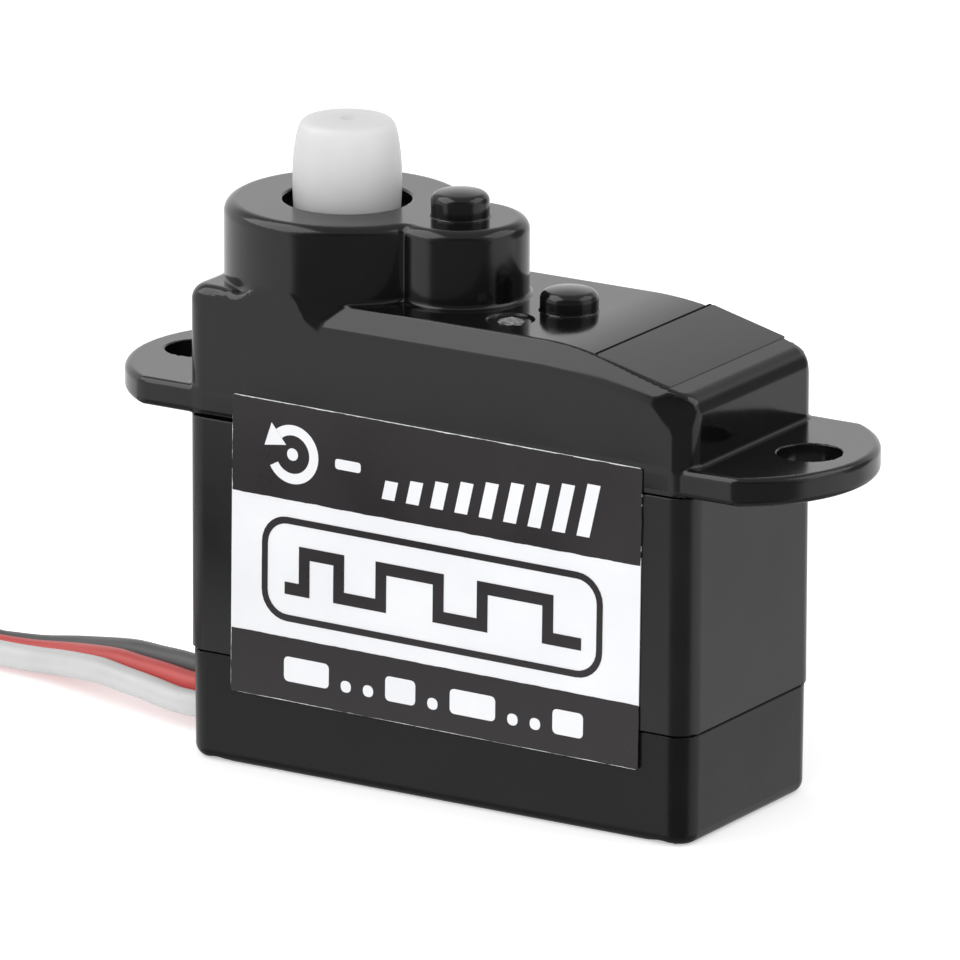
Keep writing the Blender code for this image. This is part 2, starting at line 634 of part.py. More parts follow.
def make_electronics(parts, board, chip, tin, cap_look, copper):
    """The circuit board in the cap, with its parts on the underside."""
    paint(block("circuit_board", parts, (-6.4, 6.4), (-2.8, 2.8), (BOARD_LOW, BOARD_HIGH)), board)
    under = BOARD_LOW - 0.03
    paint(block("controller_chip", parts, (-2.2, 0.8), (-1.5, 1.5), (under - 0.8, under), 0.06), chip)
    paint(block("driver_chip", parts, (2.0, 4.0), (-1.0, 1.0), (under - 0.7, under), 0.06), chip)
    paint(block("capacitor", parts, (-4.9, -3.3), (0.8, 1.7), (under - 0.8, under), 0.06), cap_look)
    for i, (x, y) in enumerate(((1.2, -2.4), (2.2, -2.4), (4.6, -0.5))):
        resistor = block("resistor_%d" % (i + 1), parts, (x, x + 0.5), (y, y + 1.0), (under - 0.35, under))
        paint(resistor, tin)
    for i, y in enumerate((-0.7, 0, 0.7)):
        sides = (EXIT_Y + y - 0.2, EXIT_Y + y + 0.2)
        paint(block("wire_end_%d" % (i + 1), parts, (-7.6, -5.6), sides, (under - 0.4, under)), copper)


def ribbon(name, parts, route, roll, look):
    """The flat lead along a route; it starts rolled by some degrees and soon lies flat."""
    path = smooth_path(route, 1.0)
    line = bpy.data.curves.new(name, "CURVE")
    line.dimensions = "3D"
    line.twist_mode = "Z_UP"
    line.extrude = RIBBON_HALF * MM
    line.bevel_depth = WIRE_R * MM
    line.bevel_resolution = 2
    line.use_fill_caps = True
    spline = line.splines.new("POLY")
    spline.points.add(len(path) - 1)
    for i, (point, place) in enumerate(zip(spline.points, path)):
        point.co = (*(place * MM), 1)
        point.tilt = math.radians(90 - roll * max(0, 1 - ROLL_FADE * i / (len(path) - 1)))
    piece = add(name, line, parts)
    line.materials.append(look)
    return piece


def make_lead(parts, guides, rubber, plug_look, brass):
    """The lead as a ribbon, its stored coil with a tie, and its connector."""
    ribbon("lead_ribbon", parts, LEAD_ROUTE, ROLL_START, rubber)
    ribbon("lead_tail", parts, TAIL_ROUTE, 0, rubber)
    coil = turned("lead_coil", parts, COIL[0],
                  [(COIL_IN_R, COIL_HIGH), (COIL_OUT_R, COIL_HIGH), (COIL_OUT_R, COIL_LOW),
                   (COIL_IN_R, COIL_LOW)], 40)
    coil.location.y = COIL[1] * MM
    coil.data.materials.append(rubber)

    middle = (COIL_OUT_R + COIL_IN_R) / 2
    reach = (COIL_OUT_R - COIL_IN_R) / 2 + 0.1
    outer = [(-reach - 0.3, 0), (reach + 0.3, 0), (reach + 0.3, COIL_HIGH + 0.35),
             (-reach - 0.3, COIL_HIGH + 0.35)]
    inner = [(-reach, 0.28), (reach, 0.28), (reach, COIL_HIGH + 0.06), (-reach, COIL_HIGH + 0.06)]
    tie = plate("lead_tie", parts, [outer, inner], -0.6, 0.6)
    around = (Matrix.Translation((COIL[0] * MM, COIL[1] * MM, 0)) @ Matrix.Rotation(TIE_ANGLE, 4, "Z")
              @ Matrix.Translation((middle * MM, 0, 0)) @ Matrix.Rotation(math.pi / 2, 4, "X"))
    tie.data.transform(around)
    paint(tie, rubber)

    length, width, height = PLUG_SIZE
    housing = block("connector_housing", parts, (0, length), (-width / 2, width / 2), (0, height), 0.15)
    channels = [block("channel", guides, (-1, length + 1), (y - 0.8, y + 0.8), (0.5, height - 0.5))
                for y in (-PITCH, 0, PITCH)]
    windows = [block("latch_window", guides, (5.2, 7.4), (y - 0.55, y + 0.55), (1.3, height + 1))
               for y in (-PITCH, 0, PITCH)]
    contacts = [block("connector_contact_%d" % (i + 1), parts, (4.0, length - 0.8), (y - 0.65, y + 0.65),
                      (0.65, height - 0.65)) for i, y in enumerate((-PITCH, 0, PITCH))]
    lie = Matrix.Translation((PLUG_BACK[0] * MM, PLUG_BACK[1] * MM, 0)) @ Matrix.Rotation(PLUG_TURN, 4, "Z")
    for piece in [housing, *contacts, *channels, *windows]:
        piece.data.transform(lie)
    cut(housing, *channels, *windows)
    paint(housing, plug_look)
    for contact in contacts:
        paint(contact, brass)


def main():
    """Build the whole servo."""
    empty_scene()
    parts = collection("servo_motor")
    guides = collection("guides")
    gloss = material("black_gloss_plastic", BLACK, 0.22)
    satin = material("black_satin_plastic", BLACK, 0.42)
    nylon = material("white_nylon", NYLON, 0.45)
    steel = material("bright_steel", STEEL, 0.3, 1.0)
    dark_steel = material("dark_steel", (0.12, 0.12, 0.13), 0.4, 1.0)
    copper = material("copper", COPPER, 0.35, 1.0)
    brass = material("brass", BRASS, 0.35, 1.0)
    board = material("circuit_board_green", GREEN, 0.4)
    dark = material("dark_plastic", CARBON, 0.5)
    carbon = material("carbon_track", CARBON, 0.7)
    tin = material("chip_body", (0.06, 0.06, 0.065), 0.4)
    ceramic = material("ceramic", (0.5, 0.38, 0.25), 0.5)
    label = material("label_film", (0.3, 0.3, 0.31), 0.35)
    rubber = material("lead_insulation", (0.35, 0.33, 0.33), 0.45)

    make_top_case(parts, guides, gloss)
    make_middle_case(parts, guides, satin)
    make_bottom_cap(parts, guides, satin)
    make_label(parts, label)
    make_screws(parts, dark_steel)
    make_gears(parts, guides, nylon)
    make_gear_pins(parts, steel)
    make_motor(parts, guides, steel, dark, copper, dark_steel, nylon)
    make_potentiometer(parts, guides, dark, board, carbon, copper, nylon)
    make_electronics(parts, board, tin, dark, ceramic, copper)
    make_lead(parts, guides, rubber, satin, brass)
    bpy.context.view_layer.update()


main()
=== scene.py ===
"""Looks of the ultra-micro servo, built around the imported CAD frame.

Lengths are in millimetres and become metres where a mesh is made. The frame is the CAD's:
+X along the case away from the output shaft, the label on the -Y face, +Z up the shaft.
"""

import math

import bmesh
import bpy
import numpy as np
from mathutils import Matrix, Vector, noise


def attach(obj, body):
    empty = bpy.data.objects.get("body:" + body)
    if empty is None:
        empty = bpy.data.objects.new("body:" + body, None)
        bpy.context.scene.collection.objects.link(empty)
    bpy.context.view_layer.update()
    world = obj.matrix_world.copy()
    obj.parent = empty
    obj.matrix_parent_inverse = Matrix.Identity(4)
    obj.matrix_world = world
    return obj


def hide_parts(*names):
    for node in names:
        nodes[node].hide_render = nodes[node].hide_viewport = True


MM = 0.001

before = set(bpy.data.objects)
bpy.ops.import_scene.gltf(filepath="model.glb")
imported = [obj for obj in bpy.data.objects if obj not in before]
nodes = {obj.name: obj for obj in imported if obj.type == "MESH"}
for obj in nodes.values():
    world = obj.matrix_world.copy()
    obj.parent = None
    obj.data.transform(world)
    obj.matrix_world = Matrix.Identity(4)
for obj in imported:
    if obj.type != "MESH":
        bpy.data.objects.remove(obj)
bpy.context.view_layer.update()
scene = bpy.context.scene


# ---------------------------------------------------------------- camera

AZIMUTH = math.radians(31.863)      # from the label's side towards the far end of the case
ELEVATION = math.radians(16.031)
ROLL = math.radians(0.161)
DISTANCE = 380.642
LENS = 506.77                       # focal length for a sensor 36 mm wide
SENSOR = 36
AIM = (-0.53, 0.597)                # shift of the view's middle, right and up in the picture
AIM_HEIGHT = 8.0


def make_camera():
    """The photograph's view: a long lens, a little above the object and to its right."""
    a, e = AZIMUTH, ELEVATION
    back = Vector((math.sin(a) * math.cos(e), -math.cos(a) * math.cos(e), math.sin(e)))
    right = Vector((math.cos(a), math.sin(a), 0))
    up = Vector((-math.sin(a) * math.sin(e), math.cos(a) * math.sin(e), math.cos(e)))
    aim = Vector((0, 0, AIM_HEIGHT)) + AIM[0] * right + AIM[1] * up
    turned_right = math.cos(ROLL) * right + math.sin(ROLL) * up
    turned_up = math.cos(ROLL) * up - math.sin(ROLL) * right
    data = bpy.data.cameras.new("camera")
    data.lens = LENS
    data.sensor_width = SENSOR
    data.clip_start = 0.01
    data.clip_end = 10
    camera = bpy.data.objects.new("camera", data)
    scene.collection.objects.link(camera)
    basis = Matrix((turned_right, turned_up, back)).transposed().to_4x4()
    basis.translation = (aim + DISTANCE * back) * MM
    camera.matrix_world = basis
    scene.camera = camera


make_camera()


# ---------------------------------------------------------------- materials

def shader_nodes(name):
    """A new node material and its Principled shader."""
    made = bpy.data.materials.new(name)
    made.use_nodes = True
    return made, made.node_tree, made.node_tree.nodes["Principled BSDF"]


NOISE_RANGE = (0.3, 0.7)            # most of a noise texture's values lie between these


def cloud(tree, scale, detail=3.0, roughness=0.5, stretch=(1, 1, 1)):
    """Procedural noise in object coordinates; scale is in cycles per millimetre."""
    where = tree.nodes.new("ShaderNodeTexCoord")
    place = tree.nodes.new("ShaderNodeMapping")
    place.inputs["Scale"].default_value = stretch
    made = tree.nodes.new("ShaderNodeTexNoise")
    for key, value in (("Scale", scale / MM), ("Detail", detail), ("Roughness", roughness)):
        made.inputs[key].default_value = value
    tree.links.new(where.outputs["Object"], place.inputs["Vector"])
    tree.links.new(place.outputs["Vector"], made.inputs["Vector"])
    return made.outputs["Fac"]


def spread(tree, source, low, high):
    """Map noise to a range."""
    made = tree.nodes.new("ShaderNodeMapRange")
    for key, value in zip(("From Min", "From Max", "To Min", "To Max"), (*NOISE_RANGE, low, high)):
        made.inputs[key].default_value = value
    tree.links.new(source, made.inputs["Value"])
    return made.outputs["Result"]


def ramp(tree, source, stops):
    """Colour noise by a ramp between two (position, colour) stops."""
    made = tree.nodes.new("ShaderNodeValToRGB")
    for element, (position, colour) in zip(made.color_ramp.elements, stops):
        element.position = position
        element.color = (*colour, 1)
    tree.links.new(source, made.inputs["Fac"])
    return made.outputs["Color"]


def bump(tree, shader, heights):
    """Chain bump nodes from (noise, height in millimetres) pairs into the shader."""
    last = None
    for height, depth in heights:
        made = tree.nodes.new("ShaderNodeBump")
        made.inputs["Distance"].default_value = depth * MM
        made.inputs["Strength"].default_value = 1.0
        tree.links.new(height, made.inputs["Height"])
        if last is not None:
            tree.links.new(last, made.inputs["Normal"])
        last = made.outputs["Normal"]
    tree.links.new(last, shader.inputs["Normal"])


def plastic(name, dark, light, rough, grain=0.0006, grain_scale=9.0, wave=0.004, wave_scale=0.35,
            blotch=0.35, shine=0.5, subsurface=0.0, radius=(1, 1, 1)):
    """Moulded plastic: cloudy colour, uneven gloss, fine grain and slow waves of the surface.

    Grain and wave are heights in millimetres, the scales and blotch are in cycles per millimetre.
    """
    made, tree, shader = shader_nodes(name)
    clouds = cloud(tree, blotch, 4.0)
    fine = cloud(tree, grain_scale, 2.0)
    slow = cloud(tree, wave_scale, 2.0)
    tree.links.new(ramp(tree, clouds, list(zip(NOISE_RANGE, (dark, light)))), shader.inputs["Base Color"])
    tree.links.new(spread(tree, clouds, *rough), shader.inputs["Roughness"])
    shader.inputs["IOR"].default_value = 1.5
    shader.inputs["Specular IOR Level"].default_value = shine
    if subsurface:
        shader.inputs["Subsurface Weight"].default_value = subsurface
        shader.inputs["Subsurface Radius"].default_value = radius
        shader.inputs["Subsurface Scale"].default_value = MM
    bump(tree, shader, [(slow, wave), (fine, grain)])
    return made


def metal(name, colour, rough, scratch=6.0, stretch=(1, 1, 12), depth=0.0015):
    """Drawn or turned metal: fine lines along one way, uneven gloss and slight tarnish."""
    made, tree, shader = shader_nodes(name)
    lines = cloud(tree, scratch, 3.0, 0.6, stretch)
    tarnish = cloud(tree, 0.8, 4.0)
    dull = tuple(0.72 * value for value in colour)
    tree.links.new(ramp(tree, tarnish, [(0.35, dull), (0.6, colour)]), shader.inputs["Base Color"])
    tree.links.new(spread(tree, lines, rough * 0.7, rough * 1.5), shader.inputs["Roughness"])
    shader.inputs["Metallic"].default_value = 1.0
    bump(tree, shader, [(lines, depth)])
    return made


BLACK_GLOSS = plastic("black_gloss_plastic", (0.0035, 0.0035, 0.0038), (0.006, 0.0058, 0.006), (0.10, 0.17),
                      wave=0.006)
BLACK_SATIN = plastic("black_satin_plastic", (0.005, 0.0048, 0.0052), (0.008, 0.0078, 0.0082), (0.24, 0.34),
                      blotch=0.45)
# darker and less shiny than the satin plastic: painted shade, so the low part of the case shows as dark as
# the floor close by would make it
BLACK_CAP_SHADED = plastic("black_cap_shaded_plastic", (0.004, 0.0038, 0.0041), (0.0065, 0.0062, 0.0066), (0.24, 0.34),
                    blotch=0.55, shine=0.32)
BLACK_MATTE = plastic("black_matte_plastic", (0.042, 0.041, 0.041), (0.062, 0.061, 0.061), (0.42, 0.52),
                      grain=0.002, grain_scale=6)
GATE_PLASTIC = plastic("torn_gate_plastic", (0.09, 0.09, 0.095), (0.30, 0.30, 0.31), (0.35, 0.6),
                       grain=0.03, grain_scale=7, blotch=3.35)
MILKY_NYLON = plastic("milky_nylon", (0.64, 0.64, 0.64), (0.70, 0.70, 0.705), (0.30, 0.42),
                      grain=0.001, grain_scale=7, subsurface=0.85, radius=(1.7, 1.6, 1.5))
GEAR_NYLON = plastic("gear_nylon", (0.68, 0.67, 0.63), (0.76, 0.75, 0.71), (0.35, 0.5), grain=0.001,
                     subsurface=0.3)
DARK_PLASTIC = plastic("dark_moulded_plastic", (0.012, 0.012, 0.013), (0.03, 0.03, 0.032), (0.35, 0.5),
                       grain=0.001)
GREY_INSULATION = plastic("grey_insulation", (0.055, 0.055, 0.058), (0.085, 0.083, 0.085), (0.32, 0.45),
                          grain=0.0008, grain_scale=4)
RED_INSULATION = plastic("red_insulation", (0.54, 0.05, 0.045), (0.62, 0.07, 0.062), (0.32, 0.45),
                         grain=0.0008, grain_scale=4)
WHITE_INSULATION = plastic("white_insulation", (0.60, 0.60, 0.60), (0.70, 0.70, 0.70), (0.3, 0.45),
                           grain=0.0008, grain_scale=4, subsurface=0.15)
TIE_PLASTIC = plastic("tie_plastic", (0.010, 0.010, 0.011), (0.025, 0.025, 0.027), (0.3, 0.45), grain=0.0015)
PLUG_PLASTIC = plastic("connector_plastic", (0.008, 0.008, 0.009), (0.018, 0.018, 0.019), (0.28, 0.42),
                       grain=0.0015)
LABEL_WHITE = plastic("label_white", (0.80, 0.81, 0.835), (0.86, 0.865, 0.885), (0.28, 0.42),
                      grain=0.0015, grain_scale=5, wave=0.010, wave_scale=0.25)
LABEL_BLACK = plastic("label_black", (0.0145, 0.0118, 0.0135), (0.021, 0.0175, 0.0198), (0.24, 0.36),
                      grain=0.0025, grain_scale=5, wave=0.010, wave_scale=0.25)
# near-black and almost unshiny: painted shade for the dark line along the facet insert's upper edge
GROOVE_PAINTED_SHADE = plastic("groove_shadow", (0.001, 0.001, 0.001), (0.002, 0.002, 0.002), (0.6, 0.8), shine=0.05)
FERRITE = plastic("ferrite_magnet", (0.035, 0.035, 0.037), (0.06, 0.06, 0.062), (0.5, 0.65), grain=0.002)
BOARD_GREEN = plastic("circuit_board_mask", (0.010, 0.075, 0.030), (0.016, 0.11, 0.045), (0.22, 0.36),
                      grain=0.001)
CHIP_BLACK = plastic("chip_resin", (0.010, 0.010, 0.010), (0.022, 0.022, 0.022), (0.45, 0.6), grain=0.003)
CERAMIC = plastic("capacitor_ceramic", (0.42, 0.29, 0.16), (0.52, 0.37, 0.22), (0.3, 0.45), grain=0.001)
RESISTOR = plastic("resistor_glaze", (0.012, 0.012, 0.014), (0.03, 0.03, 0.035), (0.2, 0.35), grain=0.001)
CARBON = plastic("carbon_track", (0.008, 0.008, 0.008), (0.016, 0.016, 0.016), (0.35, 0.5), grain=0.002)
CREAM_PLASTIC = plastic("cream_plastic", (0.62, 0.58, 0.48), (0.70, 0.66, 0.56), (0.35, 0.5), grain=0.001)
STEEL = metal("ground_steel", (0.55, 0.55, 0.57), 0.22)
DARK_STEEL = metal("black_oxide_steel", (0.10, 0.10, 0.11), 0.32)
COPPER = metal("enamelled_copper", (0.72, 0.32, 0.13), 0.25)
BRASS = metal("stamped_brass", (0.80, 0.60, 0.25), 0.25, 4.0, (1, 1, 1))
BRIGHT_STEEL = metal("nickel_plated_steel", (0.68, 0.68, 0.67), 0.2, 3.0, (1, 1, 6), 0.0008)
LAMINATION = metal("stacked_laminations", (0.32, 0.32, 0.33), 0.35, 5.0, (1, 1, 14), 0.004)


# ---------------------------------------------------------------- helpers for pieces

def add_piece(name, mesh, body="case", replaced=()):
    """Link a mesh as a piece that rides on a body and stands for CAD nodes."""
    piece = bpy.data.objects.new(name, mesh)
    scene.collection.objects.link(piece)
    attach(piece, body)
    if replaced:
        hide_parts(*replaced)
    return piece


def mesh_from(name, points, faces, looks, face_looks=None, sharp=30):
    """A mesh from points in millimetres, smooth but for edges above the sharp angle."""
    mesh = bpy.data.meshes.new(name)
    mesh.from_pydata([Vector(point) * MM for point in points], [], faces)
    for look in looks:
        mesh.materials.append(look)
    if face_looks is not None:
        mesh.polygons.foreach_set("material_index", face_looks)
    bm = bmesh.new()
    bm.from_mesh(mesh)
    bmesh.ops.recalc_face_normals(bm, faces=bm.faces)
    bm.to_mesh(mesh)
    bm.free()
    mesh.shade_smooth()
    mesh.set_sharp_from_angle(angle=math.radians(sharp))
    return mesh


# ---------------------------------------------------------------- lead

WIRE_R = 0.385                      # a little over half the gap, so that the three wires fuse
WIRE_GAP = 0.7
WIRE_SIDES = 12
COIL = (-27.0, -8.1)
COIL_START = 95                     # degrees
COIL_TURNS = 1.3333
COIL_STEPS = 24                     # route points per turn
COIL_R = 10.8
COIL_PITCH = 2.3                    # how much the coil tightens per turn
LEAD_Z = 0.39
TIE_ANGLE = 150                     # where the tie lifts the lead, how far round, and by how much
TIE_REACH = 32
TIE_LIFT = 0.32
PLUG_BACK = Vector((-21.0, -22.65, 0))
PLUG_TURN = math.radians(-4)
PLUG_AXIS_Z = 1.3
PITCH = 2.54                        # between the connector's contacts
FAN_LENGTH = 5.2                    # over which the wires spread from the ribbon to the contacts

# Route points from the circuit board to the coil, and from the coil to the connector.
LEAD_ROUTE = [(-7.9, -0.85, 1.34), (-8.35, -0.85, 1.32), (-9.1, -0.84, 1.25),
              (-9.8, -0.77, 1.2), (-10.9, -0.47, 1.21), (-12.0, -0.13, 1.17),
              (-12.9, 0.15, 1.15), (-13.8, 0.45, 1.03), (-14.7, 0.78, 0.87),
              (-15.6, 1.05, 0.71), (-16.85, 1.25, 0.54), (-18.2, 1.32, 0.49),
              (-19.8, 1.5, 0.46), (-21.6, 2.0, 0.42), (-23.4, 2.45, 0.4), (-25.4, 2.75, 0.39)]
TAIL_ROUTE = [(-31.6, -15.3, 0.85), (-30.0, -18.0, 1.17), (-28.4, -20.15, 0.95),
              (-27.1, -21.35, 0.6), (-25.5, -22.15, 0.45), (-23.5, -22.55, 0.8),
              (-22.2, -22.6, 1.15)]
# The ribbon's roll in degrees, by its place along X.
ROLL_BY_X = [(-21.6, -1), (-19.8, -5), (-18.2, -9), (-16.85, -4), (-15.6, 3), (-14.0, 8), (-12.9, 11),
             (-11.9, 15), (-10.4, 22), (-9.2, 29), (-8.35, 35), (-7.9, 36)]
PLUG_START = PLUG_BACK + Vector((0, 0, PLUG_AXIS_Z))
PLUG_AHEAD = Vector((math.cos(PLUG_TURN), math.sin(PLUG_TURN), 0))


def smooth_path(route, step):
    """Points about one step apart on a smooth curve through the route's points."""
    points = [Vector(point) for point in route]
    points = [2 * points[0] - points[1]] + points + [2 * points[-1] - points[-2]]
    path = []
    for before, start, end, after in zip(points, points[1:], points[2:], points[3:]):
        count = max(1, round((end - start).length / step))
        for i in range(count):
            t = i / count
            path.append(0.5 * (2 * start + (end - before) * t
                               + (2 * before - 5 * start + 4 * end - after) * t ** 2
                               + (3 * start - before - 3 * end + after) * t ** 3))
    return path + [points[-2]]


def lead_route():
    """From the circuit board to the coil, round it, and over its turns to the connector."""
    route = [Vector(point) for point in LEAD_ROUTE]
    steps = round(COIL_TURNS * COIL_STEPS)
    for i in range(steps + 1):
        turned = 360 * COIL_TURNS * i / steps
        angle = math.radians(COIL_START + turned)
        radius = COIL_R - COIL_PITCH * turned / 360
        off = abs((COIL_START + turned - TIE_ANGLE + 180) % 360 - 180) / TIE_REACH
        lift = TIE_LIFT * max(0, 1 - off) ** 2 * (1 + 2 * min(1, off))
        route.append(Vector((COIL[0] + radius * math.cos(angle), COIL[1] + radius * math.sin(angle),
                             LEAD_Z + lift)))
    route += [Vector(point) for point in TAIL_ROUTE]
    for inside in (0.0, 1.8, 3.8):
        route.append(PLUG_START + PLUG_AHEAD * inside)
    return route


def lead_roll(point, share):
    """How far the ribbon is rolled about its own line, in radians; share is how far along it is."""
    if point.x < ROLL_BY_X[0][0] or share > 0.25:
        return 0.0
    xs, rolls = zip(*ROLL_BY_X)
    return math.radians(float(np.interp(point.x, xs, rolls)))


def lead_gap(point, share):
    """The distance between neighbouring wires: wide inside the connector, fanning out before it."""
    if share <= 0.8:
        return WIRE_GAP
    near = max(0.0, 1 - (point - PLUG_START).length / FAN_LENGTH)
    if near and (point - PLUG_START).dot(PLUG_AHEAD) > 0:
        near = 1.0
    fan = near * near * (3 - 2 * near)
    return WIRE_GAP * (1 - fan) + PITCH * fan


def make_lead():
    """Three insulated wires side by side, moulded together, and spread out at the connector."""
    path = smooth_path(lead_route(), 0.45)
    rows = len(path)
    points, faces, looks = [], [], []
    for wire in (-1, 0, 1):
        first = len(points)
        for i, place in enumerate(path):
            along = (path[min(i + 1, rows - 1)] - path[max(i - 1, 0)]).normalized()
            level = along.cross(Vector((0, 0, 1))).normalized()
            rise = level.cross(along)
            roll = lead_roll(place, i / rows)
            side = level * math.cos(roll) + rise * math.sin(roll)
            normal = side.cross(along)
            centre = place + side * wire * lead_gap(place, i / rows)
            for k in range(WIRE_SIDES):
                turn = 2 * math.pi * k / WIRE_SIDES
                points.append(centre + (side * math.cos(turn) + normal * math.sin(turn)) * WIRE_R)
        for i in range(rows - 1):
            for k in range(WIRE_SIDES):
                a = first + i * WIRE_SIDES + k
                b = first + i * WIRE_SIDES + (k + 1) % WIRE_SIDES
                faces.append((a, b, b + WIRE_SIDES, a + WIRE_SIDES))
        faces.append(tuple(range(first, first + WIRE_SIDES)))
        faces.append(tuple(range(first + (rows - 1) * WIRE_SIDES, first + rows * WIRE_SIDES)))
        looks += [wire + 1] * (len(faces) - len(looks))
    colours = [WHITE_INSULATION, RED_INSULATION, GREY_INSULATION]
    mesh = mesh_from("lead_wires", points, faces, colours, looks, 50)
    piece = add_piece("lead_wires", mesh, "case",
                      ("lead_ribbon", "lead_coil", "lead_tail"))
    long = sum((b - a).length for a, b in zip(path, path[1:]))
    print("lead length mm", round(long, 1))
    return piece, path


lead, lead_path = make_lead()


# ---------------------------------------------------------------- case shapes as distance fields

HALF_X = 8.35
HALF_Y = 3.48
CORNER = 0.7                        # radius of the case's upright edges
WALL = 0.55
SEAM_LOW = 3.216
SEAM_HIGH = 10.13
GAP = 0.012                         # the dark line that shows at each seam
OUTPUT_X = -5.057
PIN_1_X = -1.3
PIN_2_X = 2.3
MOTOR_X = 4.85
DECK = 13.92
TOWER_TOP = 16.14
FACET_X = 4.39                      # where the deck would turn into the facet without the bend
FACET_SLOPE = -0.252
BEND = 1.15                         # half the length over which the deck bends into the facet
CHAMFER = (0.788, 0.616)            # the deck chamfer's normal, outwards and upwards
CHAMFER_DROP = 0.62                 # how far it reaches below the deck, and how much less by the far end
CHAMFER_TAPER = 0.18
PIN_BOSS_R = 1.96
SHAFT_HOLE_R = 1.825
CAP_R = 0.83
CAP_DOME = 0.16
PIN_R = 0.39
GATE = (1.40, -1.70)
GATE_R = 0.66
GATE_DEPTH = 0.07
EAR_END = (7.8, 4.0)                # middle and radius of an ear's round end
EAR_HALF_Y = 3.45
EAR_THICK = 0.85
EAR_HOLE = (10.13, 0.912)           # middle and radius of an ear's hole
PLATE = (8.9, 9.5)                  # the gear plate's two faces
SCREW_PLACES = [(x, y) for x in (-7.35, 7.35) for y in (-2.55, 2.55)]
SCREW_R = 0.4
POST_R = 0.85
RECESS = (0.73, 0.75)               # radius and depth of a screw head's recess


def both(a, b, r):
    """Distance to the overlap of two shapes, its edge rounded by r."""
    return np.minimum(-r, np.maximum(a, b)) + np.hypot(np.maximum(a + r, 0), np.maximum(b + r, 0))


def either(a, b, r):
    """Distance to the union of two shapes, with a fillet of radius r."""
    return np.maximum(r, np.minimum(a, b)) - np.hypot(np.maximum(r - a, 0), np.maximum(r - b, 0))


def slab(value, low, high):
    """Distance to the space between two planes."""
    return np.maximum(low - value, value - high)


def rounded_plan(x, y, half_x, half_y, r):
    """Distance to a rectangle with round corners."""
    qx, qy = np.abs(x) - half_x + r, np.abs(y) - half_y + r
    return np.minimum(np.maximum(qx, qy), 0) + np.hypot(np.maximum(qx, 0), np.maximum(qy, 0)) - r


def fade(value, start, end):
    """0 before start, 1 after end, smooth between."""
    t = np.clip((value - start) / (end - start), 0, 1)
    return t * t * (3 - 2 * t)


def crown(x):
    """Height of the deck and facet at x, with a gentle bend between them."""
    t = np.clip((x - FACET_X + BEND) / (2 * BEND), 0, 1)
    return DECK + FACET_SLOPE * (BEND * t * t + np.maximum(x - FACET_X - BEND, 0))


def crown_slope(x):
    """Slope of the crown at x."""
    return FACET_SLOPE * np.clip((x - FACET_X + BEND) / (2 * BEND), 0, 1)


def chamfer_drop(x):
    """How far the deck's chamfer reaches down at x: nothing beside the tower, less by the far end."""
    return (CHAMFER_DROP - CHAMFER_TAPER * fade(x, 3.5, 7.0)) * fade(x - OUTPUT_X, 0.2, 0.9)


def top_case_outside(x, y, z):
    """The top case's outer shape without its ears: body, tower, pin boss, pin caps and gate recess."""
    side = np.abs(y)
    above = (z - crown(x)) / np.sqrt(1 + crown_slope(x) ** 2)
    chamfer = CHAMFER[0] * (side - HALF_Y) + CHAMFER[1] * (above + chamfer_drop(x))
    edge = 0.13 + 0.32 * fade(x, 7.05, 7.8) + 0.33 * fade(-x, 6.2, 7.4)
    body = both(rounded_plan(x, y, HALF_X, HALF_Y, CORNER), both(above, chamfer, 0.05), edge)

    tower = np.hypot(x - OUTPUT_X, y)
    pin_1 = np.hypot(x - PIN_1_X, y)
    pin_2 = np.hypot(x - PIN_2_X, y)
    bosses = both(either(tower - HALF_Y, pin_1 - PIN_BOSS_R, 0.12), z - TOWER_TOP, 0.36)
    foot = 0.13 + 0.25 * fade(side, 2.7, 3.3) * fade(-x, 3.2, 4.4)
    foot = 0.05 + (foot - 0.05) * (1 - fade(-x, 5.9, 6.9))
    solid = either(body, bosses, foot)
    solid = both(solid, np.maximum(side - HALF_Y, -HALF_X - x), 0.02)

    cap_1 = both(pin_1 - CAP_R, z - TOWER_TOP - 0.76 + CAP_DOME * pin_1 ** 2, 0.2)
    cap_2 = both(pin_2 - CAP_R, z - DECK - 0.66 + CAP_DOME * pin_2 ** 2, 0.2)
    solid = either(solid, np.minimum(cap_1, cap_2), 0.05)
    gate = np.hypot(x - GATE[0], y - GATE[1])
    return both(solid, -both(gate - GATE_R, DECK - GATE_DEPTH - z, 0.02), 0.05)


def top_case_room(x, y, z):
    """The rooms inside the top case: over the motor, under the deck, and in the tower and pin boss."""
    inside = both(np.abs(x) - HALF_X + WALL, np.abs(y) - HALF_Y + WALL, 0.1)
    over_motor = np.maximum(inside, z - 12.3)
    under_deck = np.maximum(np.maximum(inside, x - 4.0), z - 13.3)
    turrets = np.minimum(np.hypot(x - OUTPUT_X, y) - 2.97, np.hypot(x - PIN_1_X, y) - 1.5)
    in_turrets = np.maximum(np.maximum(turrets, z - 15.5), 12.0 - z)
    return np.minimum(np.minimum(over_motor, under_deck), in_turrets)


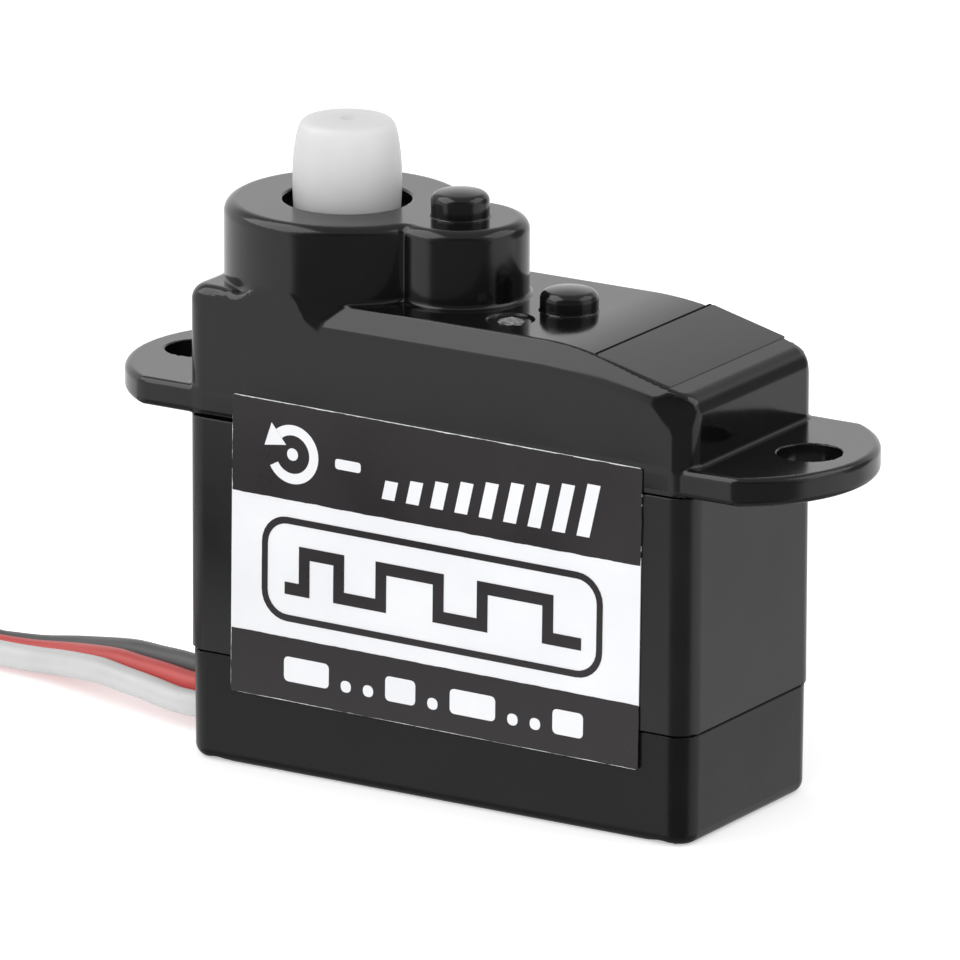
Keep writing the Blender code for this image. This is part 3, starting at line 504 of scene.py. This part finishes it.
def top_case_distance(p):
    """The top case: outer shape, ears, rooms, screw posts, and the holes for shaft and pins."""
    x, y, z = p[:, 0], p[:, 1], p[:, 2]
    low = SEAM_HIGH + GAP
    solid = top_case_outside(x, y, z)
    end = np.hypot(np.maximum(np.abs(x) - EAR_END[0], 0), y) - EAR_END[1]
    ears = both(end, np.abs(y) - EAR_HALF_Y, 0.12)
    ears = both(ears, slab(z, low + 0.02, SEAM_HIGH + EAR_THICK), 0.2)
    ears = both(ears, EAR_HOLE[1] - np.hypot(np.abs(x) - EAR_HOLE[0], y), 0.05)
    solid = either(solid, ears, 0.1)
    solid = both(solid, low - z, 0.02)

    solid = np.maximum(solid, -top_case_room(x, y, z))
    around = rounded_plan(x, y, HALF_X, HALF_Y, CORNER)
    for px, py in SCREW_PLACES:
        reach = np.hypot(x - px, y - py)
        post = np.maximum(reach - POST_R, slab(z, low, 12.7 if px < 0 else 11.9))
        solid = np.minimum(solid, np.maximum(post, around + 0.1))
        solid = np.maximum(solid, np.minimum(SCREW_R - reach, 12.5 - z))
    solid = both(solid, np.minimum(SHAFT_HOLE_R - np.hypot(x - OUTPUT_X, y), z - 15.0), 0.07)
    for px, top in ((PIN_1_X, TOWER_TOP + 0.3), (PIN_2_X, DECK + 0.28)):
        solid = np.maximum(solid, -np.maximum(np.hypot(x - px, y) - PIN_R, z - top))
    return solid


def slopes(distance, p, step=0.004):
    """Unit normals of a distance field at points."""
    found = np.empty_like(p)
    for axis in range(3):
        shift = np.zeros(3)
        shift[axis] = step
        found[:, axis] = distance(p + shift) - distance(p - shift)
    return found / np.maximum(np.linalg.norm(found, axis=1, keepdims=True), 1e-9)


def settle(distance, p, rounds, limit):
    """Move points on to the surface of a distance field."""
    for _ in range(rounds):
        move = np.clip(distance(p), -limit, limit)[:, None] * slopes(distance, p)
        p = p - move
    return p


def mesh_points(mesh):
    """A mesh's points as rows."""
    flat = np.empty(len(mesh.vertices) * 3, dtype=np.float64)
    mesh.vertices.foreach_get("co", flat)
    return flat.reshape(-1, 3)


def applied(piece):
    """Replace a piece's mesh by what its modifiers make of it."""
    bpy.context.view_layer.update()
    mesh = bpy.data.meshes.new_from_object(piece.evaluated_get(bpy.context.evaluated_depsgraph_get()))
    old = piece.data
    piece.modifiers.clear()
    piece.data = mesh
    bpy.data.meshes.remove(old)
    return mesh


def settled(mesh, distance, rounds, limit):
    """Move a mesh's points on to a distance field and return them."""
    points = settle(distance, mesh_points(mesh), rounds, limit)
    mesh.vertices.foreach_set("co", points.ravel())
    mesh.update()
    return points


def corner_normals(mesh, points, distance):
    """The field's normal just inside each face's corners, so that an edge of the field stays crisp."""
    corners = np.empty(len(mesh.loops), dtype=np.int64)
    mesh.loops.foreach_get("vertex_index", corners)
    totals = np.empty(len(mesh.polygons), dtype=np.int64)
    mesh.polygons.foreach_get("loop_total", totals)
    centres = np.empty(len(mesh.polygons) * 3)
    mesh.polygons.foreach_get("center", centres)
    middles = np.repeat(centres.reshape(-1, 3), totals, axis=0)
    return slopes(distance, points[corners] + 0.3 * (middles - points[corners])).tolist()


def sculpt(name, node, distance, voxel, keep, look):
    """Remesh a CAD node finely, move it on to a distance field, thin it and shade it by the field."""
    mesh = nodes[node].data.copy()
    mesh.materials.clear()
    mesh.transform(Matrix.Scale(1 / MM, 4))
    piece = bpy.data.objects.new(name, mesh)
    scene.collection.objects.link(piece)
    step = piece.modifiers.new("Remesh", "REMESH")
    step.mode = "VOXEL"
    step.voxel_size = voxel
    settled(applied(piece), distance, 5, 0.12)
    step = piece.modifiers.new("Thin", "DECIMATE")
    step.ratio = keep
    mesh = applied(piece)
    points = settled(mesh, distance, 2, 0.03)
    normals = corner_normals(mesh, points, distance)
    mesh.shade_smooth()
    mesh.materials.append(look)
    mesh.transform(Matrix.Scale(MM, 4))
    mesh.normals_split_custom_set(normals)
    mesh.name = name
    print(name, len(mesh.polygons), "faces")
    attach(piece, "case")
    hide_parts(node)


def middle_case_distance(p):
    """The middle case: a tube with the gear plate across it and four screw posts."""
    x, y, z = p[:, 0], p[:, 1], p[:, 2]
    low = SEAM_LOW + GAP
    solid = both(rounded_plan(x, y, HALF_X, HALF_Y, CORNER), slab(z, low, SEAM_HIGH), 0.03)
    inside = rounded_plan(x, y, HALF_X - WALL, HALF_Y - WALL, 0.3)
    solid = np.maximum(solid, np.minimum(-inside, slab(z, *PLATE)))
    for px, py in SCREW_PLACES:
        reach = np.hypot(x - px, y - py)
        solid = np.minimum(solid, np.maximum(reach - POST_R, slab(z, low, SEAM_HIGH)))
        solid = np.maximum(solid, SCREW_R - reach)
    through = np.abs(z - 9.2) - 1.0
    for px, radius in ((MOTOR_X, 0.95), (OUTPUT_X, 0.91), (PIN_1_X, PIN_R), (PIN_2_X, PIN_R)):
        solid = np.maximum(solid, -np.maximum(np.hypot(x - px, y) - radius, through))
    return solid


def bottom_cap_distance(p):
    """The bottom cap: a tray with a soft lower rim, the lead's window and recessed screws."""
    x, y, z = p[:, 0], p[:, 1], p[:, 2]
    step, draft = 0.04, 0.008
    around = rounded_plan(x, y, HALF_X - step, HALF_Y - step, CORNER) + draft * (SEAM_LOW - z)
    outside = both(around, -z, 0.38)
    solid = both(outside, z - SEAM_LOW, 0.03)
    inside = rounded_plan(x, y, HALF_X - WALL, HALF_Y - WALL, 0.3)
    solid = np.maximum(solid, -np.maximum(inside, 0.6 - z))
    window = both(np.abs(y + 0.85) - 0.95, np.abs(z - 1.33) - 0.87, 0.2)
    solid = both(solid, -np.maximum(window, x + 7.7), 0.06)
    for px, py in SCREW_PLACES:
        reach = np.hypot(x - px, y - py)
        post = np.maximum(reach - POST_R, slab(z, 0.1, SEAM_LOW))
        solid = np.minimum(solid, np.maximum(post, outside + 0.1))
        solid = np.maximum(solid, SCREW_R - reach)
        solid = both(solid, -np.maximum(reach - RECESS[0], z - RECESS[1]), 0.04)
    return solid


sculpt("top_case_moulding", "top_case", top_case_distance, 0.065, 0.45, BLACK_GLOSS)
sculpt("middle_case_moulding", "middle_case", middle_case_distance, 0.085, 0.3, BLACK_SATIN)
# the bottom cap takes the darker copy of the satin plastic: painted shade low on the case
sculpt("bottom_cap_moulding", "bottom_cap", bottom_cap_distance, 0.085, 0.35, BLACK_CAP_SHADED)


# ---------------------------------------------------------------- small things on the case

def prism(name, outlines, depth, look, bevel=0.0):
    """A flat curve with holes made solid: it lies in XY, its back at z = 0, its front at depth."""
    flat = bpy.data.curves.new(name, "CURVE")
    flat.dimensions = "2D"
    flat.fill_mode = "BOTH"
    flat.extrude = depth / 2
    flat.bevel_depth = bevel
    flat.offset = -bevel
    for outline in outlines:
        spline = flat.splines.new("POLY")
        spline.points.add(len(outline) - 1)
        spline.use_cyclic_u = True
        for point, (x, y) in zip(spline.points, outline):
            point.co = (x, y, 0, 1)
    guide = bpy.data.objects.new(name, flat)
    scene.collection.objects.link(guide)
    bpy.context.view_layer.update()
    mesh = bpy.data.meshes.new_from_object(guide.evaluated_get(bpy.context.evaluated_depsgraph_get()))
    bpy.data.objects.remove(guide)
    bpy.data.curves.remove(flat)
    bm = bmesh.new()
    bm.from_mesh(mesh)
    bmesh.ops.remove_doubles(bm, verts=bm.verts, dist=1e-4)
    bmesh.ops.recalc_face_normals(bm, faces=bm.faces)
    bm.transform(Matrix.Translation((0, 0, depth / 2)))
    bm.to_mesh(mesh)
    bm.free()
    mesh.materials.clear()
    mesh.materials.append(look)
    return mesh


def joined(name, meshes):
    """One mesh from several, each keeping its materials."""
    bm = bmesh.new()
    looks = []
    for mesh in meshes:
        first = len(bm.faces)
        bm.from_mesh(mesh)
        bm.faces.ensure_lookup_table()
        looks += [look for look in mesh.materials if look not in looks]
        for face in bm.faces[first:]:
            face.material_index = looks.index(mesh.materials[face.material_index])
        bpy.data.meshes.remove(mesh)
    made = bpy.data.meshes.new(name)
    bm.to_mesh(made)
    bm.free()
    for look in looks:
        made.materials.append(look)
    made.shade_smooth()
    made.set_sharp_from_angle(angle=math.radians(35))
    return made


def ring_of(x, y, radius, count, start=0.0, end=360.0):
    """Points round an arc."""
    full = end - start >= 360
    steps = count if full else count - 1
    return [(x + radius * math.cos(math.radians(start + (end - start) * i / steps)),
             y + radius * math.sin(math.radians(start + (end - start) * i / steps))) for i in range(count)]


def round_box(x0, y0, x1, y1, r, count=6):
    """A rectangle's outline with round corners."""
    corners = [(x1 - r, y1 - r, 0), (x0 + r, y1 - r, 90), (x0 + r, y0 + r, 180), (x1 - r, y0 + r, 270)]
    return [point for cx, cy, start in corners for point in ring_of(cx, cy, r, count, start, start + 90)]


def torn(outline, size, seed, step=0.09):
    """An outline cut into short steps and roughened, as a knife leaves a printed film."""
    rough = []
    for (x0, y0), (x1, y1) in zip(outline, outline[1:] + outline[:1]):
        long = math.hypot(x1 - x0, y1 - y0)
        count = max(1, int(long / step))
        across = ((y1 - y0) / long, (x0 - x1) / long) if long else (0, 0)
        for i in range(count):
            x, y = x0 + (x1 - x0) * i / count, y0 + (y1 - y0) * i / count
            slow = noise.noise(Vector((x * 1.7, y * 1.7, seed)))
            fast = noise.noise(Vector((x * 6, y * 6, seed)))
            bite = size * (slow + 0.6 * fast)
            rough.append((x - across[0] * bite, y - across[1] * bite))
    return rough


LABEL_HALF = (6.74, 4.37)
LABEL_MIDDLE = (0.06, -HALF_Y - 0.018, 6.56)
LABEL_TURN = math.radians(-0.6)
FILM = 0.030                        # thickness of the label's white film
PRINT = 0.038                       # height of the black bands' faces over the film's back
INK = 0.003                         # thickness of the marks
BAND_TOP = 1.55                     # lower edge of the upper band
BAND_LOW = -2.49                    # upper edge of the lower band


def pulse_outline():
    """The outline of a line that steps up and down between two levels, as a control pulse does."""
    low, high, thick, start, end = -1.22, 0.24, 0.36, -4.95, 4.85
    top, bottom, up = [(start, low + thick)], [(start, low)], False
    for edge in (-4.3, -3.15, -1.75, 0.15, 1.6, 3.75):
        left, right = edge - thick / 2, edge + thick / 2
        if up:
            top += [(right, high), (right, low + thick)]
            bottom += [(left, high - thick), (left, low)]
        else:
            top += [(left, low + thick), (left, high)]
            bottom += [(right, low), (right, high - thick)]
        up = not up
    return top + [(end, low + thick), (end, low)] + bottom[::-1]


def make_label():
    """Front label: white film, two black bands, and plain marks in place of any lettering."""
    u, v = LABEL_HALF
    film = prism("film", [round_box(-u, -v, u, v, 0.08, 3)], FILM, LABEL_WHITE)
    upper = torn(round_box(-u + 0.012, BAND_TOP, u + 0.006, v - 0.018, 0.03, 2), 0.020, 3.0)
    lower = torn(round_box(-u + 0.012, -v + 0.012, u + 0.006, BAND_LOW, 0.03, 2), 0.013, 8.0)
    bands = [prism("band", [outline], PRINT, LABEL_BLACK) for outline in (upper, lower)]
    marks = []

    def mark(look, *outlines):
        marks.append(prism("mark", outlines, INK, look))

    # upper band: a turning arrow with a dot in it, a dash, and a row of slanted bars that grow
    outer, inner = (ring_of(-4.72, 2.9, radius, 40, -150, 130) for radius in (0.86, 0.56))
    mark(LABEL_WHITE, outer + inner[::-1])
    mark(LABEL_WHITE, [(-5.424, 3.731), (-5.655, 3.041), (-4.936, 3.149)])
    mark(LABEL_WHITE, round_box(-4.9, 2.72, -4.54, 3.08, 0.17))
    mark(LABEL_WHITE, round_box(-3.3, 2.72, -2.45, 3.02, 0.08, 3))
    for i in range(9):
        x, foot, wide, high = -1.75 + 0.8 * i, 2.1, 0.42, 0.55 + 0.125 * i
        lean = 0.22 * high
        mark(LABEL_WHITE, [(x, foot), (x + wide, foot), (x + wide + lean, foot + high),
                           (x + lean, foot + high)])
    # middle band: a control pulse inside a rounded frame
    mark(LABEL_BLACK, round_box(-5.72, -2.02, 5.54, 1.05, 0.85, 8),
         round_box(-5.52, -1.82, 5.34, 0.85, 0.66, 8))
    mark(LABEL_BLACK, pulse_outline())
    # lower band: dashes and dots
    x, dot = -4.95, 0.34
    for long in (1.5, dot, dot, 1.0, dot, 1.5, dot, dot, 1.0):
        mark(LABEL_WHITE, round_box(x, -3.78, x + long, -3.44 if long == dot else -3.05, 0.14, 4))
        x += long + 0.4

    for mesh in marks:
        mesh.transform(Matrix.Translation((0, 0, PRINT)))
    mesh = joined("front_label_print", [film] + bands + marks)
    stand = (Matrix.Translation(LABEL_MIDDLE) @ Matrix.Rotation(math.pi / 2, 4, "X")
             @ Matrix.Rotation(LABEL_TURN, 4, "Z"))
    mesh.transform(Matrix.Scale(MM, 4) @ stand)
    add_piece("front_label_print", mesh, "case", ("front_label",))


INSERT_X = (5.04, 7.42)             # the insert's upper and lower ends
INSERT_Y = (-3.04, 3.2)
INSERT_SUNK = 0.058                 # how far its back lies under the surface


def make_facet_insert():
    """The matte insert on the slope, and painted shade along its upper edge: a near-black strip where a fine
    cut shows as a dark line.
    """
    (start, end), (near, far) = INSERT_X, INSERT_Y
    slope = math.atan(-FACET_SLOPE)
    outline = round_box(0, near, (end - start) / math.cos(slope), far, 0.06, 3)
    pad = prism("pad", [outline], 0.06, BLACK_MATTE, 0.024)
    # a near-black strip a little taller than the pad: painted shade for the dark line along the upper edge
    outline = round_box(-0.085, near + 0.05, -0.006, far - 0.02, 0.02, 2)
    groove_shade = prism("groove_shade", [outline], 0.069, GROOVE_PAINTED_SHADE)
    mesh = joined("facet_insert", [pad, groove_shade])
    base = float(crown(np.array([start]))[0]) - INSERT_SUNK
    stand = Matrix.Translation((start, 0, base)) @ Matrix.Rotation(slope * 0.985, 4, "Y")
    mesh.transform(Matrix.Scale(MM, 4) @ stand)
    add_piece("facet_insert", mesh, "case")


def make_gate_mark():
    """The torn plug of plastic that the mould's gate leaves in its shallow recess."""
    place = Vector((GATE[0] + 0.07, GATE[1] - 0.04, DECK - 0.065))
    bm = bmesh.new()
    bmesh.ops.create_icosphere(bm, subdivisions=5, radius=1)
    for vert in bm.verts:
        x, y, z = vert.co
        rough = 0.30 * noise.noise(vert.co * 2.3 + Vector((4, 1, 7))) + 0.22 * noise.noise(vert.co * 6.0)
        high = max(0.0, 1 - x * x - y * y) ** 0.5
        height = (0.085 + 0.3 * rough * high) * high * (1 if z > 0 else -0.3)
        vert.co = place + Vector((x * (0.38 + 0.2 * rough), y * (0.33 + 0.2 * rough), height))
    mesh = bpy.data.meshes.new("gate_mark")
    bm.to_mesh(mesh)
    bm.free()
    mesh.materials.append(GATE_PLASTIC)
    mesh.shade_smooth()
    mesh.transform(Matrix.Scale(MM, 4))
    add_piece("gate_mark", mesh, "case")


make_label()
make_facet_insert()
make_gate_mark()


# ---------------------------------------------------------------- output shaft

SHAFT_START = 15.5                  # inside the tower, where the hub from the CAD gives way to the shaft end
SPLINES = 20
SPLINE_DEPTH = 0.008
SHAFT_PROFILE = (                   # radius, height, share of the splines' depth
    (1.515, SHAFT_START, 0), (1.52, 15.8, 0), (1.53, 16.05, 0.2), (1.543, 16.35, 0.6), (1.55, 16.65, 0.9),
    (1.548, 16.95, 1), (1.535, 17.25, 1), (1.512, 17.5, 1), (1.485, 17.72, 1), (1.45, 17.93, 1),
    (1.415, 18.09, 1), (1.385, 18.2, 0.9), (1.35, 18.29, 0.7), (1.30, 18.36, 0.4), (1.23, 18.41, 0.2),
    (1.12, 18.437, 0), (0.9, 18.447, 0), (0.5, 18.45, 0), (0.24, 18.45, 0), (0.19, 18.435, 0),
    (0.15, 18.40, 0), (0.08, 18.37, 0))


def splined_turning(rows, sides):
    """Closed rings of points from (radius, height, share) rows, with faint splines round them."""
    points, faces = [], []
    for radius, height, share in rows:
        for k in range(sides):
            angle = 2 * math.pi * k / sides
            wave = math.cos(SPLINES * angle)
            wave = math.copysign(abs(wave) ** 0.6, wave)
            reach = radius + SPLINE_DEPTH * share * (wave - 1) / 2
            points.append((OUTPUT_X + reach * math.cos(angle), reach * math.sin(angle), height))
    for i in range(len(rows) - 1):
        for k in range(sides):
            a, b = i * sides + k, i * sides + (k + 1) % sides
            faces.append((a, b, b + sides, a + sides))
    faces.append(tuple(range(sides))[::-1])
    faces.append(tuple(range((len(rows) - 1) * sides, len(rows) * sides)))
    return points, faces


def make_output():
    """The output gear with its hub from the CAD, and the barrel-shaped splined shaft end."""
    bm = bmesh.new()
    bm.from_mesh(nodes["output_gear"].data)
    cut = bmesh.ops.bisect_plane(bm, geom=bm.verts[:] + bm.edges[:] + bm.faces[:], dist=1e-8,
                                 plane_co=(0, 0, (SHAFT_START + 0.05) * MM), plane_no=(0, 0, 1),
                                 clear_outer=True)
    rims = [e for e in cut["geom_cut"] if isinstance(e, bmesh.types.BMEdge)]
    bmesh.ops.holes_fill(bm, edges=rims, sides=0)
    lower = bpy.data.meshes.new("output_lower")
    bm.to_mesh(lower)
    bm.free()
    lower.materials.clear()
    lower.materials.append(MILKY_NYLON)
    points, faces = splined_turning(SHAFT_PROFILE, 160)
    upper = mesh_from("output_upper", points, faces, [MILKY_NYLON])
    mesh = joined("output_shaft", [lower, upper])
    mesh.set_sharp_from_angle(angle=math.radians(40))
    add_piece("output_shaft", mesh, "output", ("output_gear",))


make_output()


# ---------------------------------------------------------------- CAD nodes that keep their shape

NODE_LOOKS = (                      # the start of a node's name, and its look
    ("case_screw", DARK_STEEL), ("gear_pin", STEEL), ("motor_can", BRIGHT_STEEL),
    ("motor_end_cap", CREAM_PLASTIC), ("motor_magnet", FERRITE), ("motor_brush", COPPER),
    ("motor_terminal", BRASS), ("motor_shaft", STEEL), ("motor_armature", LAMINATION),
    ("motor_winding", COPPER), ("motor_commutator", COPPER), ("motor_pinion", BRASS),
    ("pot_housing", DARK_PLASTIC), ("pot_base", CREAM_PLASTIC), ("pot_track", CARBON),
    ("pot_pin", BRIGHT_STEEL), ("pot_rotor", CREAM_PLASTIC), ("pot_wiper", BRASS),
    ("circuit_board", BOARD_GREEN), ("controller_chip", CHIP_BLACK), ("driver_chip", CHIP_BLACK),
    ("capacitor", CERAMIC), ("resistor", RESISTOR), ("wire_end", BRIGHT_STEEL),
    ("connector_contact", BRASS), ("connector_housing", PLUG_PLASTIC), ("lead_tie", TIE_PLASTIC),
    ("lead_", GREY_INSULATION), ("top_case", BLACK_GLOSS), ("middle_case", BLACK_SATIN),
    ("bottom_cap", BLACK_CAP_SHADED), ("front_label", LABEL_WHITE), ("output_gear", MILKY_NYLON),
    ("first_gear", GEAR_NYLON), ("second_gear", GEAR_NYLON), ("third_gear", GEAR_NYLON),
    ("fourth_gear", GEAR_NYLON))


def paint_nodes():
    """Give every CAD node a procedural material by the start of its name; the first match counts."""
    for name, node in nodes.items():
        look = next(look for start, look in NODE_LOOKS if name.startswith(start))
        node.data.materials.clear()
        node.data.materials.append(look)
        node.data.set_sharp_from_angle(angle=math.radians(35))


paint_nodes()


# ---------------------------------------------------------------- floor and light

def make_floor():
    """A plain pale floor, bright enough to burn out to white and left out of reflections."""
    bm = bmesh.new()
    bmesh.ops.create_grid(bm, x_segments=8, y_segments=8, size=3)
    mesh = bpy.data.meshes.new("floor")
    bm.to_mesh(mesh)
    bm.free()
    made, tree, shader = shader_nodes("pale_floor")
    paper = cloud(tree, 0.2, 2.0)
    tree.links.new(ramp(tree, paper, list(zip(NOISE_RANGE, ((0.90,) * 3, (0.92,) * 3)))),
                   shader.inputs["Base Color"])
    shader.inputs["Roughness"].default_value = 0.8
    shader.inputs["Specular IOR Level"].default_value = 0.0
    shader.inputs["Emission Color"].default_value = (1, 1, 1, 1)
    shader.inputs["Emission Strength"].default_value = 0.45
    mesh.materials.append(made)
    floor = bpy.data.objects.new("floor", mesh)
    scene.collection.objects.link(floor)
    floor.visible_glossy = False


SOFT_LIGHTS = (
    # name, place in metres, width and height, watts, seen in reflections, lights matte surfaces
    ("left_softbox", (-0.24, -0.145, 0.32), (0.46, 0.34), 1.05, True, False),
    ("left_fill", (-0.25, -0.14, 0.31), (0.42, 0.26), 0.34, False, True),
    ("right_softbox", (0.25, 0.16, 0.30), (0.36, 0.24), 0.34, True, True),
    ("front_fill", (0.14, -0.46, 0.28), (0.5, 0.5), 1.5, False, True))


def soft_light(name, place, size, power, mirrored, lit):
    """A rectangular soft light that faces the middle of the object."""
    data = bpy.data.lights.new(name, "AREA")
    data.shape = "RECTANGLE"
    data.size, data.size_y = size
    data.energy = power
    light = bpy.data.objects.new(name, data)
    light.location = place
    light.visible_glossy = mirrored
    light.visible_diffuse = lit
    light.rotation_euler = (Vector((0, 0, 0.01)) - Vector(place)).to_track_quat("-Z", "Y").to_euler()
    scene.collection.objects.link(light)


def world_light():
    """A pale room, dimmer in front, overhead, below and at the far right, and lighter right behind."""
    world = bpy.data.worlds.new("studio")
    world.use_nodes = True
    tree = world.node_tree
    facing = tree.nodes.new("ShaderNodeTexCoord").outputs["Generated"]

    def lobe(axis, start, end, low, high):
        """Brightness from low to high as a direction's share along the axis goes from start to end."""
        dot = tree.nodes.new("ShaderNodeVectorMath")
        dot.operation = "DOT_PRODUCT"
        dot.inputs[1].default_value = axis
        tree.links.new(facing, dot.inputs[0])
        made = tree.nodes.new("ShaderNodeMapRange")
        made.interpolation_type = "SMOOTHSTEP"
        for key, value in (("From Min", start), ("From Max", end), ("To Min", low), ("To Max", high)):
            made.inputs[key].default_value = value
        tree.links.new(dot.outputs["Value"], made.inputs["Value"])
        return made.outputs["Result"]

    def maths(operation, a, b):
        made = tree.nodes.new("ShaderNodeMath")
        made.operation = operation
        tree.links.new(a, made.inputs[0])
        tree.links.new(b, made.inputs[1])
        return made.outputs[0]

    front = lobe((0.528, -0.849, 0), 0.52, 0.68, 0.95, 0.19)
    overhead = lobe((0, 0, 1), 0.30, 0.62, 1.0, 0.50)
    doorway = lobe((0.58, 0.81, 0.10), 0.90, 0.985, 1.0, 0.25)
    behind = lobe((-0.507, 0.816, 0.276), 0.82, 0.99, 0.0, 0.12)
    below = lobe((0, 0, -1), 0.35, 0.7, 1.0, 0.3)
    sides = maths("MULTIPLY", maths("MULTIPLY", front, doorway), maths("MULTIPLY", overhead, below))
    light = maths("ADD", sides, behind)
    tree.links.new(light, tree.nodes["Background"].inputs["Strength"])
    tree.nodes["Background"].inputs["Color"].default_value = (1, 1, 1, 1)
    scene.world = world


make_floor()
world_light()
for row in SOFT_LIGHTS:
    soft_light(*row)
scene.view_settings.view_transform = "Standard"
